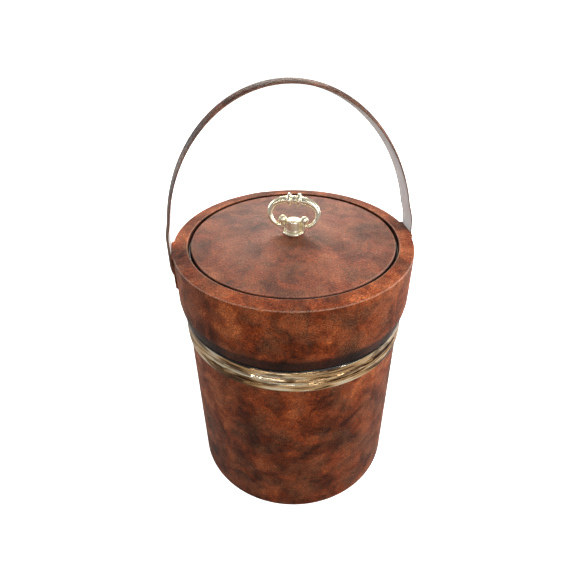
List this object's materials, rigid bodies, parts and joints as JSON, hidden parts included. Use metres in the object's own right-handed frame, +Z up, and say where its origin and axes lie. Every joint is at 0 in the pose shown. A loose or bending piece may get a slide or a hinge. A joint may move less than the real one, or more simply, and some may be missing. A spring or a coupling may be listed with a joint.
{
  "type": "ice bucket",
  "caption": "Round insulated ice bucket covered in brown leather-look vinyl, with a wide collar, gold-tone trim band, sunken domed lid with a ring pull, and a swinging strap handle.",
  "frame": {"origin": "on the floor under the middle of the bucket", "axes": "+Z up, X along the handle's pivots, +Y to the back, where the handle leans at rest"},
  "size_m": [0.2118, 0.204, 0.3717],
  "materials": {
    "brown_vinyl": "satin",
    "grey_lining": "satin",
    "fibreboard": "matte",
    "white_foam": "matte",
    "dark_liner": "gloss",
    "black_plastic": "gloss",
    "gold_trim": "polished",
    "gold_metal": "polished",
    "steel": "satin",
    "rubber": "matte"
  },
  "bodies": {
    "base": {"base_cover": "black_plastic", "base_board": "fibreboard", "body_tube": "fibreboard", "body_skin": "brown_vinyl", "foam_base": "white_foam", "foam_sleeve": "white_foam", "inner_liner": "dark_liner", "collar_core": "fibreboard", "collar_skin": "brown_vinyl", "black_bead": "black_plastic", "gold_band": "gold_trim", "pivot_bush_left": "gold_metal", "pivot_bush_right": "gold_metal"},
    "handle": {"handle_strip": "steel", "handle_skin": "brown_vinyl", "handle_lining": "grey_lining", "pivot_stud_left": "steel", "pivot_stud_right": "steel", "pivot_washer_left": "steel", "pivot_washer_right": "steel", "pivot_nut_left": "steel", "pivot_nut_right": "steel"},
    "lid": {"lid_skin": "brown_vinyl", "lid_core": "fibreboard", "lid_foam": "white_foam", "lid_pan": "dark_liner", "lid_gasket": "rubber", "knob_flange": "gold_metal", "knob_post": "gold_metal", "knob_screw": "steel", "knob_washer": "steel"},
    "bail": {"bail_ring": "gold_metal"}
  },
  "joints": [
    {"name": "handle_swing", "type": "hinge", "parent": "base", "child": "handle", "pos_m": [0, 0, 0.2325], "axis": [1, 0, 0], "range_deg": [-115, 135]},
    {"name": "lid_lift", "type": "slide", "parent": "base", "child": "lid", "axis": [0, 0, 1], "range_m": [0, 0.055]},
    {"name": "bail_swing", "type": "hinge", "parent": "lid", "child": "bail", "pos_m": [0, 0, 0.2581], "axis": [0.9426, -0.3338, 0], "range_deg": [-78, 102]}
  ]
}
